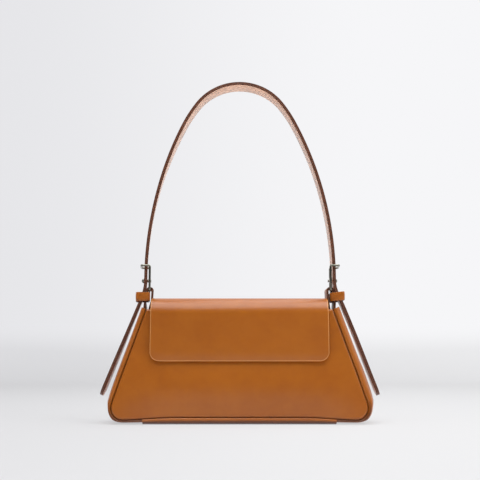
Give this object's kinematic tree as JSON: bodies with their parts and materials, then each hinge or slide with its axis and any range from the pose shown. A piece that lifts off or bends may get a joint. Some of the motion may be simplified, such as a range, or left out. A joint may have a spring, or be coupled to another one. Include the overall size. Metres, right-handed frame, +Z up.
{
  "type": "baguette bag",
  "caption": "Small trapezoid leather shoulder bag with a long front flap, swelling side gussets and a strap held upright by stud buckles on folded tabs.",
  "frame": {"origin": "middle of the flat base, on the surface that the bag stands on", "axes": "+Z up, the front with the flap faces -Y, +X to the viewer's right when the front is seen"},
  "size_m": [0.2708, 0.0622, 0.3385],
  "materials": {
    "body_leather": "smooth tan calf with a soft gloss",
    "gusset_leather": "smooth tan calf with a soft gloss",
    "strap_leather": "smooth tan calf with dark painted edges",
    "lining_leather": "fine pale split leather",
    "lining_cloth": "fine twill",
    "board": "pressed fibre board",
    "magnet_steel": "plated magnet",
    "nickel": "polished nickel"
  },
  "bodies": {
    "body": {"front_panel": "body_leather", "back_panel": "body_leather", "gusset_left": "gusset_leather", "gusset_right": "gusset_leather", "base_panel": "body_leather", "front_board": "board", "back_board": "board", "base_board": "board", "facing_front": "body_leather", "facing_back": "body_leather", "lining_front": "lining_cloth", "lining_back": "lining_cloth", "lining_gusset_left": "lining_cloth", "lining_gusset_right": "lining_cloth", "lining_base": "lining_cloth", "slip_pocket": "lining_cloth", "magnet_front": "magnet_steel", "flap_anchor": "body_leather", "tab_left": "strap_leather", "tab_right": "strap_leather"},
    "flap": {"flap_outer": "body_leather", "flap_board": "board", "flap_lining": "lining_leather", "magnet_flap": "magnet_steel"},
    "strap": {"strap_outer": "strap_leather", "strap_lining": "lining_leather", "buckle_frame_left": "nickel", "buckle_frame_right": "nickel", "buckle_stud_left": "nickel", "buckle_stud_right": "nickel"},
    "keeper_left": {"keeper_left": "strap_leather"},
    "keeper_right": {"keeper_right": "strap_leather"}
  },
  "joints": [
    {"name": "flap_hinge", "type": "hinge", "parent": "body", "child": "flap", "pos_m": [0, 0.0266, 0.1], "axis": [-1, 0, 0], "range_deg": [0, 180]},
    {"name": "strap_swing", "type": "hinge", "parent": "body", "child": "strap", "pos_m": [0, 0, 0.12], "axis": [1, 0, 0], "range_deg": [-80, 80], "deforming": ["tab_left", "tab_right"]},
    {"name": "keeper_left_slide", "type": "slide", "parent": "strap", "child": "keeper_left", "axis": [0, 0, 1], "range_m": [-0.002, 0]},
    {"name": "keeper_right_slide", "type": "slide", "parent": "strap", "child": "keeper_right", "axis": [0, 0, 1], "range_m": [-0.002, 0]}
  ]
}
